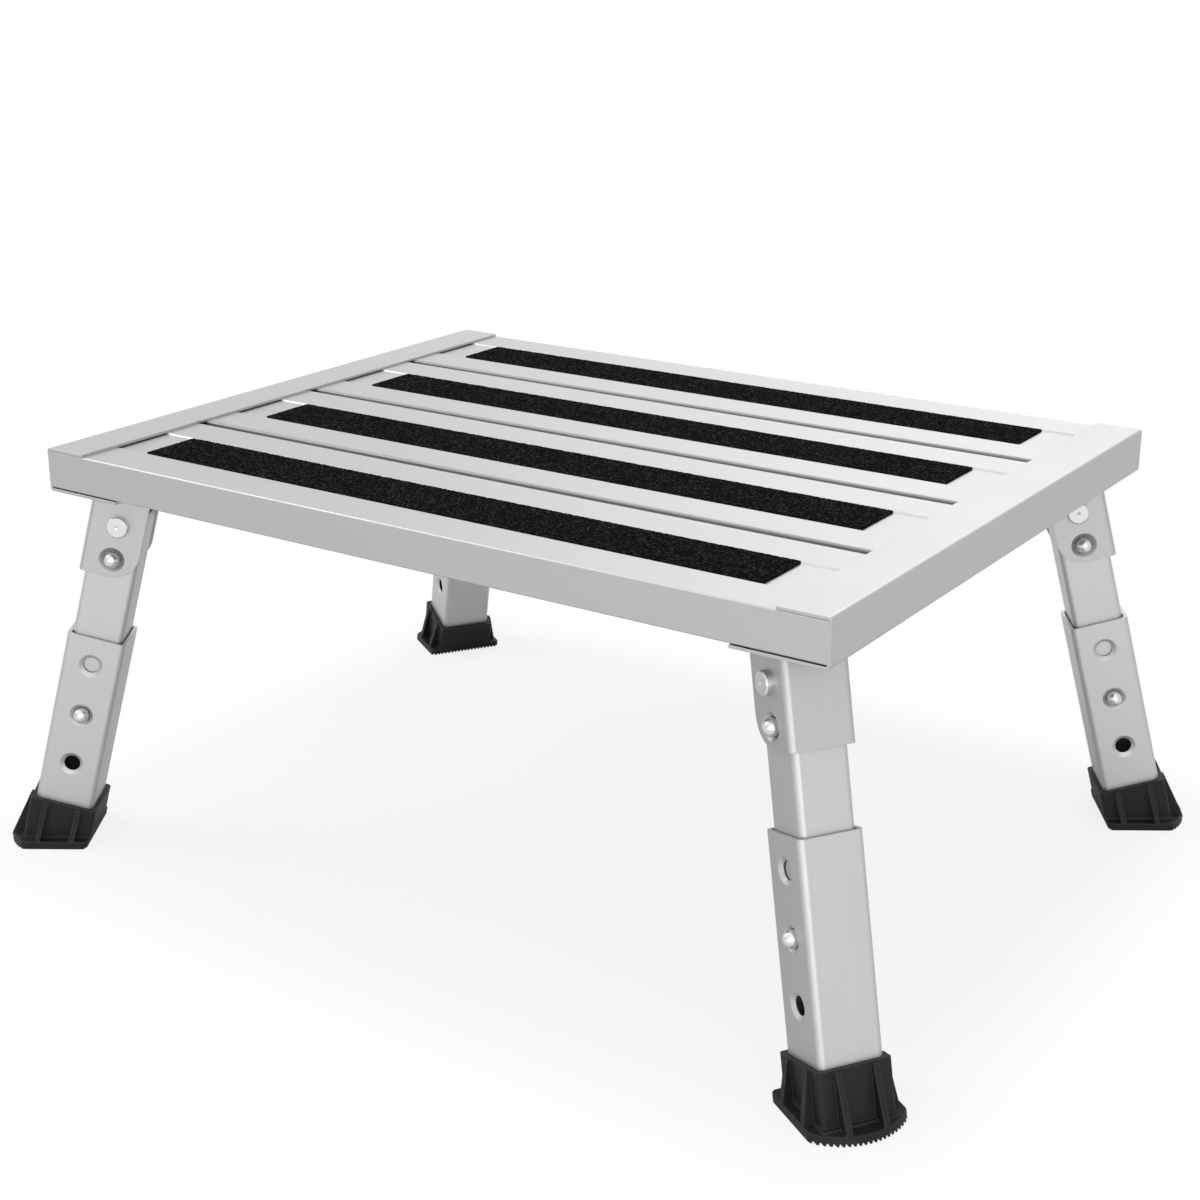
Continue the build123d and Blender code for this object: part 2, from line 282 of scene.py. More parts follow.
class SharedEffects:
    """Effects that several finishes use, each a node group that is built once.

    Attributes:
        line_stretch: Squeeze along X that draws a noise out into lines.
        band_share: Number of broad bands for each fine line.
        edge_match: Match of eased and plain normal at the start and at the middle of an edge.
        smudge_scale: Scale of the smudges' noise.
        scratch_scale: Scale of the noise that the scratches follow.
        scratch_width: Width of a scratch, in that noise's values.
        patch_scale: Scale of the patches that have scratches.
        patch_span: Values of the patches' noise between which scratches set in.
        soft_share: Scale of the grain's soft noise as a share of the grains' own.
        cell_depth: How deep a grain falls off towards its rim.
    """

    line_stretch: Place = (0.012, 1.0, 1.0)
    band_share: float = 0.12
    edge_match: Span = (0.995, 0.8)
    smudge_scale: float = 14.0
    scratch_scale: float = 55.0
    scratch_width: float = 0.006
    patch_scale: float = 23.0
    patch_span: Span = (0.55, 0.66)
    soft_share: float = 0.4
    cell_depth: float = 0.6

    def __init__(self) -> None:
        """Build every group."""
        self.drawn_lines = self.make_drawn_lines()
        self.eased_edges = self.make_eased_edges()
        self.handling = self.make_handling()
        self.fine_grain = self.make_fine_grain()

    @staticmethod
    def start(
        name: str, inputs: Iterable[tuple[str, str]], outputs: Iterable[tuple[str, str]]
    ) -> tuple[NodeSheet, bpy.types.Node, bpy.types.Node]:
        """Start a group with its sockets.

        Args:
            name: Name of the effect.
            inputs: Name and kind of each input.
            outputs: Name and kind of each output.

        Returns:
            The group's sheet, its input node and its output node.
        """
        tree = bpy.data.node_groups.new(name, "ShaderNodeTree")
        for way, sockets in (("INPUT", inputs), ("OUTPUT", outputs)):
            for label, kind in sockets:
                tree.interface.new_socket(label, in_out=way, socket_type=f"NodeSocket{kind}")
        sheet = NodeSheet(tree)
        return sheet, sheet.node("NodeGroupInput"), sheet.node("NodeGroupOutput")

    def make_drawn_lines(self) -> bpy.types.NodeTree:
        """Fine lines along X, as a die or a brush leaves them on metal.

        Returns:
            The group.
        """
        sheet, given, out = self.start(
            "drawn_lines",
            [("Vector", "Vector"), ("Lines per metre", "Float")],
            [("Lines", "Float"), ("Bands", "Float")],
        )
        squeezed = sheet.vector("MULTIPLY", given.outputs["Vector"], self.line_stretch)
        scale = given.outputs["Lines per metre"]
        fine = sheet.node(
            "ShaderNodeTexNoise",
            {"Vector": squeezed, "Scale": scale, "Detail": 2.0, "Roughness": 0.6},
        )
        broad = sheet.math("MULTIPLY", scale, self.band_share)
        bands = sheet.node("ShaderNodeTexNoise", {"Vector": squeezed, "Scale": broad, "Detail": 3.0})
        sheet.feed(out.inputs["Lines"], fine.outputs["Fac"])
        sheet.feed(out.inputs["Bands"], bands.outputs["Fac"])
        return sheet.tree

    def make_eased_edges(self) -> bpy.types.NodeTree:
        """Rounded normal along sharp edges, with a mask of where those edges are.

        Returns:
            The group.
        """
        sheet, given, out = self.start(
            "eased_edges", [("Width", "Float")], [("Normal", "Vector"), ("Edge", "Float")]
        )
        eased = sheet.node("ShaderNodeBevel", {"Radius": given.outputs["Width"]}, samples=4)
        plain = sheet.node("ShaderNodeNewGeometry")
        match = sheet.node(
            "ShaderNodeVectorMath",
            {0: eased.outputs["Normal"], 1: plain.outputs["Normal"]},
            operation="DOT_PRODUCT",
        )
        edge = sheet.spread(match.outputs["Value"], self.edge_match, (0.0, 1.0))
        sheet.feed(out.inputs["Normal"], eased.outputs["Normal"])
        sheet.feed(out.inputs["Edge"], edge)
        return sheet.tree

    def make_handling(self) -> bpy.types.NodeTree:
        """Soft smudges and sparse short scratches from use.

        Returns:
            The group.
        """
        sheet, given, out = self.start(
            "handling", [("Vector", "Vector")], [("Smudges", "Float"), ("Scratches", "Float")]
        )
        where = given.outputs["Vector"]
        smudge = sheet.node(
            "ShaderNodeTexNoise",
            {
                "Vector": where,
                "Scale": self.smudge_scale,
                "Detail": 4.0,
                "Roughness": 0.55,
                "Distortion": 0.6,
            },
        )
        bent = sheet.node(
            "ShaderNodeTexNoise",
            {"Vector": where, "Scale": self.scratch_scale, "Detail": 1.0, "Distortion": 0.3},
        )
        line = sheet.math("ABSOLUTE", sheet.math("SUBTRACT", bent.outputs["Fac"], NOISE_MIDDLE))
        patch = sheet.node(
            "ShaderNodeTexNoise", {"Vector": where, "Scale": self.patch_scale, "Detail": 1.0}
        )
        scratch = sheet.math(
            "MULTIPLY",
            sheet.spread(line, (0.0, self.scratch_width), (1.0, 0.0)),
            sheet.spread(patch.outputs["Fac"], self.patch_span, (0.0, 1.0)),
        )
        sheet.feed(out.inputs["Smudges"], sheet.spread(smudge.outputs["Fac"], SOFT_SPAN, (0.0, 1.0)))
        sheet.feed(out.inputs["Scratches"], scratch)
        return sheet.tree

    def make_fine_grain(self) -> bpy.types.NodeTree:
        """Fine rounded grain, as on moulded rubber or grit.

        Returns:
            The group.
        """
        sheet, given, out = self.start(
            "fine_grain",
            [("Vector", "Vector"), ("Grains per metre", "Float")],
            [("Height", "Float"), ("Tone", "Float")],
        )
        where = given.outputs["Vector"]
        scale = given.outputs["Grains per metre"]
        cells = sheet.node("ShaderNodeTexVoronoi", {"Vector": where, "Scale": scale})
        wide = sheet.math("MULTIPLY", scale, self.soft_share)
        soft = sheet.node("ShaderNodeTexNoise", {"Vector": where, "Scale": wide, "Detail": 3.0})
        fall = sheet.math("MULTIPLY", cells.outputs["Distance"], self.cell_depth)
        shade = sheet.node("ShaderNodeSeparateColor", {"Color": cells.outputs["Color"]})
        sheet.feed(out.inputs["Height"], sheet.math("SUBTRACT", soft.outputs["Fac"], fall))
        sheet.feed(out.inputs["Tone"], shade.outputs["Red"])
        return sheet.tree


@dataclass(frozen=True)
class Finish:
    """What every finish has.

    Attributes:
        name: Name of its material.
        colour: Its colour.
        roughness: Its mean roughness.
    """

    name: str
    colour: Colour
    roughness: float

    def sheet(self, label: str) -> tuple[bpy.types.Material, NodeSheet, bpy.types.Node]:
        """Start a material with a bare shader.

        Args:
            label: What the material is called after the finish's own name.

        Returns:
            The material, its sheet and its shader.
        """
        material = bpy.data.materials.new(f"{self.name}{label}")
        material.use_nodes = True
        material.diffuse_color = rgba(self.colour)
        sheet = NodeSheet(material.node_tree)
        sheet.tree.nodes.clear()
        shader = sheet.node("ShaderNodeBsdfPrincipled")
        sheet.node("ShaderNodeOutputMaterial", {"Surface": shader.outputs["BSDF"]})
        return material, sheet, shader


@dataclass(frozen=True)
class SatinMetal(Finish):
    """Drawn or brushed metal with fine lines, faint smudges and a painted highlight on its eased edges.

    Attributes:
        lines_per_metre: How closely the fine lines lie.
        line_depth: Depth of a line.
        line_tone: Share by which bands of lines are lighter or darker.
        line_rough: How much the lines change the roughness.
        smudge: How much rougher a smudge is.
        scratch_gloss: How much smoother a scratch is.
        edge_width: Width of an eased edge.
        edge_gain: Colour of the painted highlight on an eased edge, as a multiple of the metal's.
        edge_limit: Brightest that the painted edge highlight may be.
    """

    lines_per_metre: float = 2600.0
    line_depth: float = 0.000006
    line_tone: float = 0.01
    line_rough: float = 0.03
    smudge: float = 0.05
    scratch_gloss: float = 0.08
    edge_width: float = 0.0004
    edge_gain: float = 1.15
    edge_limit: float = 0.95

    def shade(self, sheet: NodeSheet, colour: bpy.types.NodeSocket) -> bpy.types.NodeSocket:
        """Leave the colour as it is."""
        return colour

    def make(self, effects: SharedEffects, lines: Vector, label: str = "") -> bpy.types.Material:
        """Make the material.

        Args:
            effects: The shared node groups.
            lines: Direction that the fine lines run in.
            label: What the material is called after the finish's own name.

        Returns:
            The material.
        """
        material, sheet, shader = self.sheet(label)
        where = sheet.place()
        turn = lines.rotation_difference(Vector(LineWay.ALONG_BOARDS.value)).to_euler()
        along = sheet.node("ShaderNodeMapping", {"Vector": where, "Rotation": turn}).outputs["Vector"]
        drawn = sheet.group(
            effects.drawn_lines, {"Vector": along, "Lines per metre": self.lines_per_metre}
        )
        used = sheet.group(effects.handling, {"Vector": where})
        edge = sheet.group(effects.eased_edges, {"Width": self.edge_width})

        dark = rgba(scaled(self.colour, 1.0 - self.line_tone))
        light = rgba(scaled(self.colour, 1.0 + self.line_tone))
        toned = sheet.blend(sheet.spread(drawn.outputs["Bands"], SOFT_SPAN, (0.0, 1.0)), dark, light)
        # Painted highlight: the colour brightens along eased edges, as where light catches them.
        bright = rgba(tuple(min(part * self.edge_gain, self.edge_limit) for part in self.colour))
        edged = sheet.blend(edge.outputs["Edge"], toned, bright)
        sheet.feed(shader.inputs["Base Color"], self.shade(sheet, edged))

        line_span = (self.roughness - self.line_rough, self.roughness + self.line_rough)
        rough = sheet.spread(drawn.outputs["Lines"], LINE_SPAN, line_span)
        smudged = sheet.math("MULTIPLY", used.outputs["Smudges"], self.smudge)
        scratched = sheet.math("MULTIPLY", used.outputs["Scratches"], self.scratch_gloss)
        rough = sheet.math("SUBTRACT", sheet.math("ADD", rough, smudged), scratched, clamp=True)
        sheet.feed(shader.inputs["Roughness"], rough)

        height = sheet.math("SUBTRACT", drawn.outputs["Lines"], used.outputs["Scratches"])
        bump = sheet.node(
            "ShaderNodeBump",
            {"Distance": self.line_depth, "Height": height, "Normal": edge.outputs["Normal"]},
        )
        sheet.feed(shader.inputs["Normal"], bump.outputs["Normal"])
        shader.inputs["Metallic"].default_value = 1.0
        return material


@dataclass(frozen=True)
class BoardMetal(SatinMetal):
    """Satin metal of the boards, darker where a board's top turns down into the groove before it.

    Attributes:
        pitch: Distance from one board to the next.
        reach: Pitches on each side of the deck's middle within which the grooves lie.
        groove: Width of a groove.
        top: Height of the boards' top.
        turn: How far behind a groove the turn reaches.
        turn_depth: How far below the top the turn reaches.
        turn_tone: Colour of the painted shade on the turn, as a share of the metal's.
    """

    pitch: float = 0.0945
    reach: float = 1.5
    groove: float = 0.005
    top: float = 0.2334
    turn: float = 0.0026
    turn_depth: float = 0.0012
    turn_tone: float = 0.45

    def shade(self, sheet: NodeSheet, colour: bpy.types.NodeSocket) -> bpy.types.NodeSocket:
        """Paint shade on the top towards the grooves between the boards, standing in for the shade of a
        rounder edge.

        Args:
            sheet: The material's sheet.
            colour: Colour of the plain top.

        Returns:
            The shaded colour.
        """
        place = sheet.node("ShaderNodeSeparateXYZ", {"Vector": sheet.place()})
        across = place.outputs["Y"]
        row = sheet.math("DIVIDE", across, self.pitch)
        behind = sheet.math("MULTIPLY", sheet.math("FRACT", row), self.pitch)
        near = sheet.spread(behind, (self.groove / 2, self.groove / 2 + self.turn), (1.0, 0.0))
        turn_span = (self.top - self.turn_depth, self.top - self.turn_depth / 2)
        high = sheet.spread(place.outputs["Z"], turn_span, (0.0, 1.0))
        inner = sheet.math("LESS_THAN", sheet.math("ABSOLUTE", across), self.reach * self.pitch)
        # Painted shade: on each groove's rear side the top darkens towards the groove, over the turn's
        # reach and depth.
        share = sheet.math("MULTIPLY", sheet.math("MULTIPLY", near, inner), high)
        return sheet.blend(share, colour, rgba(scaled(self.colour, self.turn_tone)))


@dataclass(frozen=True)
class PolishedMetal(Finish):
    """Bright pressed or turned metal, smooth but for faint wear.

    Attributes:
        wear: How much rougher a smudge is.
        dull: Colour of a smudge as a share of the metal's.
        dent_depth: Depth of the faint dents.
        edge_width: Width of an eased edge.
    """

    wear: float = 0.08
    dull: float = 0.9
    dent_depth: float = 0.00002
    edge_width: float = 0.0003

    def make(self, effects: SharedEffects) -> bpy.types.Material:
        """Make the material.

        Args:
            effects: The shared node groups.

        Returns:
            The material.
        """
        material, sheet, shader = self.sheet("")
        smudges = sheet.group(effects.handling, {"Vector": sheet.place()}).outputs["Smudges"]
        edge = sheet.group(effects.eased_edges, {"Width": self.edge_width})
        dull = rgba(scaled(self.colour, self.dull))
        sheet.feed(shader.inputs["Base Color"], sheet.blend(smudges, rgba(self.colour), dull))
        worn = sheet.math("MULTIPLY", smudges, self.wear)
        sheet.feed(shader.inputs["Roughness"], sheet.math("ADD", worn, self.roughness, clamp=True))
        bump = sheet.node(
            "ShaderNodeBump",
            {"Distance": self.dent_depth, "Height": smudges, "Normal": edge.outputs["Normal"]},
        )
        sheet.feed(shader.inputs["Normal"], bump.outputs["Normal"])
        shader.inputs["Metallic"].default_value = 1.0
        return material


@dataclass(frozen=True)
class MouldedRubber(Finish):
    """Matt moulded rubber with a fine grain and a painted highlight along its edges.

    Attributes:
        grains_per_metre: How closely the grains lie.
        grain_depth: Depth of the grain.
        grain_rough: How much the grains change the roughness.
        dust: Colour of a dusty place as a multiple of the rubber's.
        edge_width: Width of an eased edge.
        edge_colour: Colour of the painted highlight on an eased edge.
        gloss: How strongly it mirrors.
    """

    grains_per_metre: float = 2400.0
    grain_depth: float = 0.00006
    grain_rough: float = 0.06
    dust: float = 1.35
    edge_width: float = 0.0005
    edge_colour: Colour = (0.1, 0.1, 0.102)
    gloss: float = 0.25

    def make(self, effects: SharedEffects) -> bpy.types.Material:
        """Make the material.

        Args:
            effects: The shared node groups.

        Returns:
            The material.
        """
        material, sheet, shader = self.sheet("")
        where = sheet.place()
        grain = sheet.group(
            effects.fine_grain, {"Vector": where, "Grains per metre": self.grains_per_metre}
        )
        used = sheet.group(effects.handling, {"Vector": where})
        edge = sheet.group(effects.eased_edges, {"Width": self.edge_width})
        dusty = rgba(scaled(self.colour, self.dust))
        plain = sheet.blend(used.outputs["Smudges"], rgba(self.colour), dusty)
        # Painted highlight: the eased edges take a paler colour, as if lit.
        edged = sheet.blend(edge.outputs["Edge"], plain, rgba(self.edge_colour))
        sheet.feed(shader.inputs["Base Color"], edged)
        grain_span = (self.roughness - self.grain_rough, self.roughness + self.grain_rough)
        rough = sheet.spread(grain.outputs["Tone"], (0.0, 1.0), grain_span)
        sheet.feed(shader.inputs["Roughness"], rough)
        bump = sheet.node(
            "ShaderNodeBump",
            {
                "Distance": self.grain_depth,
                "Height": grain.outputs["Height"],
                "Normal": edge.outputs["Normal"],
            },
        )
        sheet.feed(shader.inputs["Normal"], bump.outputs["Normal"])
        shader.inputs["Specular IOR Level"].default_value = self.gloss
        return material


@dataclass(frozen=True)
class MineralGrit(Finish):
    """Black mineral grit on tape, with a few pale grains that catch the light.

    Attributes:
        grains_per_metre: How closely the grains lie.
        grain_depth: Depth of the grain.
        darkest: Colour of the darkest grain as a multiple of the grit's.
        lightest: Colour of the lightest black grain as a multiple of the grit's.
        pale_share: Share of the grains that are pale.
        pale_colour: Colour of the palest grain.
        pale_gloss: How much smoother the palest grain is.
        gloss: How strongly it mirrors.
    """

    grains_per_metre: float = 1200.0
    grain_depth: float = 0.0002
    darkest: float = 0.05
    lightest: float = 2.0
    pale_share: float = 0.2
    pale_colour: Colour = (0.05, 0.05, 0.051)
    pale_gloss: float = 0.4
    gloss: float = 0.01

    def make(self, effects: SharedEffects) -> bpy.types.Material:
        """Make the material.

        Args:
            effects: The shared node groups.

        Returns:
            The material.
        """
        material, sheet, shader = self.sheet("")
        grain = sheet.group(
            effects.fine_grain, {"Vector": sheet.place(), "Grains per metre": self.grains_per_metre}
        )
        tone = grain.outputs["Tone"]
        darkest = rgba(scaled(self.colour, self.darkest))
        lightest = rgba(scaled(self.colour, self.lightest))
        black = sheet.blend(tone, darkest, lightest)
        pale = sheet.spread(tone, (1.0 - self.pale_share, 1.0), (0.0, 1.0))
        sheet.feed(shader.inputs["Base Color"], sheet.blend(pale, black, rgba(self.pale_colour)))
        rough = sheet.spread(pale, (0.0, 1.0), (self.roughness, self.roughness - self.pale_gloss))
        sheet.feed(shader.inputs["Roughness"], rough)
        height = grain.outputs["Height"]
        bump = sheet.node("ShaderNodeBump", {"Distance": self.grain_depth, "Height": height})
        sheet.feed(shader.inputs["Normal"], bump.outputs["Normal"])
        shader.inputs["Specular IOR Level"].default_value = self.gloss
        return material


@dataclass(frozen=True)
class Finishes:
    """Every finish of the step.

    Attributes:
        board: Extruded boards.
        cap: End caps.
        tube: Tubes of the legs.
        bracket: Brackets that hold the legs.
        rivet: Pivots and bracket rivets.
        button: Snap buttons.
        spring: Hairpin springs.
        boot: Feet.
        grit: Grip strips.
    """

    board: BoardMetal = BoardMetal("board_aluminium_satin", (0.479, 0.48, 0.482), 0.45)
    cap: SatinMetal = SatinMetal("cap_aluminium_satin", (0.475, 0.476, 0.478), 0.45)
    tube: SatinMetal = SatinMetal("tube_aluminium_satin", (0.503, 0.504, 0.506), 0.46)
    bracket: SatinMetal = SatinMetal("bracket_satin_silver", (0.453, 0.454, 0.456), 0.46)
    rivet: PolishedMetal = PolishedMetal("rivet_zinc", (0.69, 0.69, 0.695), 0.28)
    button: PolishedMetal = PolishedMetal("button_polished", (0.7, 0.7, 0.705), 0.22, wear=0.05)
    spring: PolishedMetal = PolishedMetal("spring_dark_steel", (0.3, 0.3, 0.31), 0.35)
    boot: MouldedRubber = MouldedRubber("boot_black_rubber", (0.009, 0.009, 0.0094), 0.55)
    grit: MineralGrit = MineralGrit("grip_black_grit", (0.009, 0.009, 0.0093), 0.9)


def dress_node(node: bpy.types.Object, material: bpy.types.Material) -> None:
    """Give every material slot of a CAD node one material.

    Args:
        node: The node's object.
        material: Its finish.
    """
    for slot in node.material_slots:
        slot.material = material
    LOG.info("dressed %s in %s", node.name, material.name)


@dataclass
class GripStrip:
    """Gritty tape in a board's recess, modelled grain by grain within the plain strip's box.

    Attributes:
        index: Board that it lies on, counted from the front.
        grain: Spacing of the modelled grains.
        grit: Greatest depth between grains.
        stray: Greatest sideways shift of a grain.
        corner: Radius of the tape's corners in plan.
        corner_cuts: Cuts that round one corner.
    """

    index: int
    grain: float = 0.0006
    grit: float = 0.0003
    stray: float = 0.00018
    corner: float = 0.0015
    corner_cuts: int = 3

    @property
    def node(self) -> str:
        """Name of the plain strip that this one stands for."""
        return f"grip_strip_{self.index}"

    def build(self) -> bpy.types.Object:
        """Model the strip.

        Returns:
            The strip's object.
        """
        low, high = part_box(self.node)
        size = high - low
        shape = bmesh.new()
        columns = round(size.x / self.grain)
        rows = round(size.y / self.grain)
        bmesh.ops.create_grid(shape, x_segments=columns, y_segments=rows, size=UNIT_HALF)
        bmesh.ops.scale(shape, vec=(size.x, size.y, 1.0), verts=shape.verts)
        middle = Vector(((low.x + high.x) / 2, (low.y + high.y) / 2, high.z))
        bmesh.ops.translate(shape, vec=middle, verts=shape.verts)
        self.round_corners(shape, low, high)
        self.roughen(shape)
        self.close_below(shape, low.z)
        strip = show_shape(f"grip_tape_{self.index}", shape)
        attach(strip, "deck")
        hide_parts(self.node)
        return strip

    def round_corners(self, shape: bmesh.types.BMesh, low: Vector, high: Vector) -> None:
        """Trim the four corners with cuts that touch the corner's arc.

        Args:
            shape: The flat grid.
            low: Lowest corner of the strip.
            high: Highest corner of the strip.
        """
        for side_x, edge_x in ((-1, low.x), (1, high.x)):
            for side_y, edge_y in ((-1, low.y), (1, high.y)):
                centre = Vector((edge_x - side_x * self.corner, edge_y - side_y * self.corner, high.z))
                for cut in range(self.corner_cuts):
                    angle = QUARTER_TURN * (cut + 1) / (self.corner_cuts + 1)
                    outward = Vector((side_x * math.cos(angle), side_y * math.sin(angle), 0.0))
                    bmesh.ops.bisect_plane(
                        shape,
                        geom=shape.verts[:] + shape.edges[:] + shape.faces[:],
                        plane_co=centre + outward * self.corner,
                        plane_no=outward,
                        clear_outer=True,
                    )

    def roughen(self, shape: bmesh.types.BMesh) -> None:
        """Sink each point of the top by its own amount, and shift the inner ones sideways.

        Args:
            shape: The trimmed grid.
        """
        dice = random.Random(self.index)
        for vert in shape.verts:
            vert.co.z -= self.grit * dice.random() ** 2
            if not vert.is_boundary:
                vert.co.x += self.stray * (2.0 * dice.random() - 1.0)
                vert.co.y += self.stray * (2.0 * dice.random() - 1.0)

    def close_below(self, shape: bmesh.types.BMesh, floor: float) -> None:
        """Draw the rim down to the recess and close the underside.

        Args:
            shape: The roughened top.
            floor: Height of the recess.
        """
        rim = [edge for edge in shape.edges if edge.is_boundary]
        drawn = bmesh.ops.extrude_edge_only(shape, edges=rim)["geom"]
        for vert in drawn:
            if isinstance(vert, bmesh.types.BMVert):
                vert.co.z = floor
        lower = [edge for edge in drawn if isinstance(edge, bmesh.types.BMEdge) and edge.is_boundary]
        bmesh.ops.edgeloop_fill(shape, edges=lower)
        bmesh.ops.recalc_face_normals(shape, faces=shape.faces)


@dataclass
class Deck:
    """Boards, end caps and grip strips.

    Attributes:
        nodes: CAD nodes by name.
        board_count: How many boards there are.
        strips: The modelled grip strips, filled by build.
    """

    nodes: dict[str, bpy.types.Object]
    board_count: int = 4
    strips: list[bpy.types.Object] = field(default_factory=list)

    def build(self) -> None:
        """Model the grip strips."""
        self.strips = [GripStrip(index + 1).build() for index in range(self.board_count)]

    def dress(self, finishes: Finishes, effects: SharedEffects) -> None:
        """Give boards, caps and strips their finishes.

        Args:
            finishes: The step's finishes.
            effects: The shared node groups.
        """
        board = finishes.board.make(effects, Vector(LineWay.ALONG_BOARDS.value))
        cap = finishes.cap.make(effects, Vector(LineWay.ACROSS_BOARDS.value))
        for index in range(self.board_count):
            dress_node(self.nodes[f"deck_board_{index + 1}"], board)
        for side in ("left", "right"):
            dress_node(self.nodes[f"end_cap_{side}"], cap)
        grit = finishes.grit.make(effects)
        for strip in self.strips:
            strip.data.materials.append(grit)


@dataclass
class SpringArm:
    """Half of a snap clip's hairpin: an arm, which flexes as its button goes in, and half the bend.

    Attributes:
        corner: Where the leg stands.
        clip: Clip of the leg that it belongs to.
        side: Number of its button.
        strip: Thickness of the spring strip.
        flange: How far from the button's middle the arm stays straight. Not used.
        arm_cuts: Steps along the arm.
        bend_cuts: Steps round its half of the bend.
        merge: Distance within which points become one.
    """

    corner: Corner
    clip: Clip
    side: int
    strip: float = 0.0008
    flange: float = 0.0058
    arm_cuts: int = 24
    bend_cuts: int = 10
    merge: float = 0.000008

    @property
    def stem(self) -> str:
        """First words of the clip's node and joint names."""
        return f"{self.corner.label}_{self.clip.value}"

    def build(
        self, nodes: dict[str, bpy.types.Object], joints: dict[str, Any], up: Vector
    ) -> bpy.types.Object:
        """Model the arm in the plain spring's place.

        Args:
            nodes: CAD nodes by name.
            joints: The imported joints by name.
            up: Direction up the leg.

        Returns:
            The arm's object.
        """
        press = joints[f"{self.stem}_press_{self.side}"]
        outward = -Vector(press["axis"])
        pivot = Vector(joints[f"{self.corner.label}_fold"]["pos_m"])
        points = [vert.co - pivot for vert in nodes[f"{self.stem}_spring"].data.vertices]
        heights = [point.dot(up) for point in points]
        low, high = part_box(f"{self.stem}_button_{self.side}")
        seat = ((low + high) / 2 - pivot).dot(up)
        tip, crown = sorted((min(heights), max(heights)), key=lambda end: abs(end - seat))
        along = up if crown > tip else -up
        across = along.cross(outward)
        reach = max(point.dot(outward) for point in points)
        width = 2.0 * max(point.dot(across) for point in points)
        length = abs(crown - tip) - reach
        shape = self.model(width, length, reach)
        place = Matrix((across, along, outward)).transposed().to_4x4()
        place.translation = pivot + up * tip
        bmesh.ops.transform(shape, matrix=place, verts=shape.verts)
        arm = show_shape(f"{self.stem}_spring_arm_{self.side}", shape)
        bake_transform(arm)
        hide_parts(f"{self.stem}_spring")
        return arm

    def model(self, width: float, length: float, reach: float) -> bmesh.types.BMesh:
        """Lay the strip along Y, turn it a quarter round the bend and give it its thickness.

        Args:
            width: Width of the strip.
            length: Length of the straight arm.
            reach: Distance of the strip's outer face from the clip's middle line.

        Returns:
            The closed strip.
        """
        shape = bmesh.new()
        bmesh.ops.create_grid(shape, x_segments=1, y_segments=self.arm_cuts, size=UNIT_HALF)
        bmesh.ops.scale(shape, vec=(width, length, 1.0), verts=shape.verts)
        bmesh.ops.translate(shape, vec=(0.0, length / 2, reach), verts=shape.verts)
        far = max(vert.co.y for vert in shape.verts)
        root = [vert for vert in shape.verts if vert.co.y > far - self.strip]
        edge = [link for link in root[0].link_edges if link.other_vert(root[0]) is root[1]]
        bmesh.ops.spin(
            shape,
            geom=root + edge,
            cent=(0.0, length, 0.0),
            axis=(-1.0, 0.0, 0.0),
            angle=QUARTER_TURN,
            steps=self.bend_cuts,
        )
        bmesh.ops.remove_doubles(shape, verts=shape.verts, dist=self.merge)
        bmesh.ops.recalc_face_normals(shape, faces=shape.faces)
        bmesh.ops.solidify(shape, geom=shape.faces[:], thickness=self.strip)
        bmesh.ops.recalc_face_normals(shape, faces=shape.faces)
        return shape


@dataclass
class Legs:
    """Four legs with their brackets, rivets, tubes, snap clips and feet.

    Attributes:
        nodes: CAD nodes by name.
        joints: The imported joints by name.
        plan_angle: Angle in plan between a leg's splay and the boards, in degrees.
        lean: Angle of a leg from the upright, in degrees.
        arms: The modelled spring arms, filled by build.
    """

    nodes: dict[str, bpy.types.Object]
    joints: dict[str, Any]
    plan_angle: float = 33.15
    lean: float = 15.0
    arms: list[bpy.types.Object] = field(default_factory=list)

    def build(self) -> None:
        """Model the two arms of each snap clip's spring."""
        for corner in Corner:
            up = self.axis(corner)
            for clip in Clip:
                for side in (1, 2):
                    self.arms.append(SpringArm(corner, clip, side).build(self.nodes, self.joints, up))

    def axis(self, corner: Corner) -> Vector:
        """Direction up one leg.

        Args:
            corner: Where the leg stands.

        Returns:
            The direction.
        """
        side_x, side_y = corner.value
        plan = math.radians(self.plan_angle)
        outward = Vector((side_x * math.cos(plan), side_y * math.sin(plan), 0.0))
        lean = math.radians(self.lean)
        return Vector((0.0, 0.0, math.cos(lean))) - outward * math.sin(lean)

    def dress(self, finishes: Finishes, effects: SharedEffects) -> None:
        """Give every piece of the legs its finish.

        Args:
            finishes: The step's finishes.
            effects: The shared node groups.
        """
        rivet = finishes.rivet.make(effects)
        button = finishes.button.make(effects)
        spring = finishes.spring.make(effects)
        boot = finishes.boot.make(effects)
        for corner in Corner:
            axis = self.axis(corner)
            tube = finishes.tube.make(effects, axis, f"_{corner.label}")
            bracket = finishes.bracket.make(effects, axis, f"_{corner.label}")
            pieces = {
                "inner_tube": tube,
                "outer_tube": tube,
                "bracket": bracket,
                "pivot_rivet": rivet,
                "bracket_rivets": rivet,
                "fold_button_1": button,
                "fold_button_2": button,
                "height_button_1": button,
                "height_button_2": button,
                "foot": boot,
            }
            for piece, material in pieces.items():
                dress_node(self.nodes[f"{corner.label}_{piece}"], material)
        for arm in self.arms:
            arm.data.materials.append(spring)


@dataclass(frozen=True)
class Softbox:
    """Rectangular studio lamp.

    Attributes:
        name: Name of the lamp.
        place: Where it hangs.
        aim: Point that it faces.
        width: Its longer side.
        height: Its shorter side.
        power: Power in watts.
    """

    name: str
    place: Place
    aim: Place
    width: float
    height: float
    power: float

    def build(self) -> None:
        """Hang the lamp."""
        light = bpy.data.lights.new(self.name, "AREA")
        light.shape = "RECTANGLE"
        light.size = self.width
        light.size_y = self.height
        light.energy = self.power
        lamp = bpy.data.objects.new(self.name, light)
        lamp.location = self.place
        lamp.visible_camera = False
        lamp.rotation_euler = facing(self.place, self.aim)
        bpy.context.scene.collection.objects.link(lamp)
        LOG.info("hung %s", self.name)


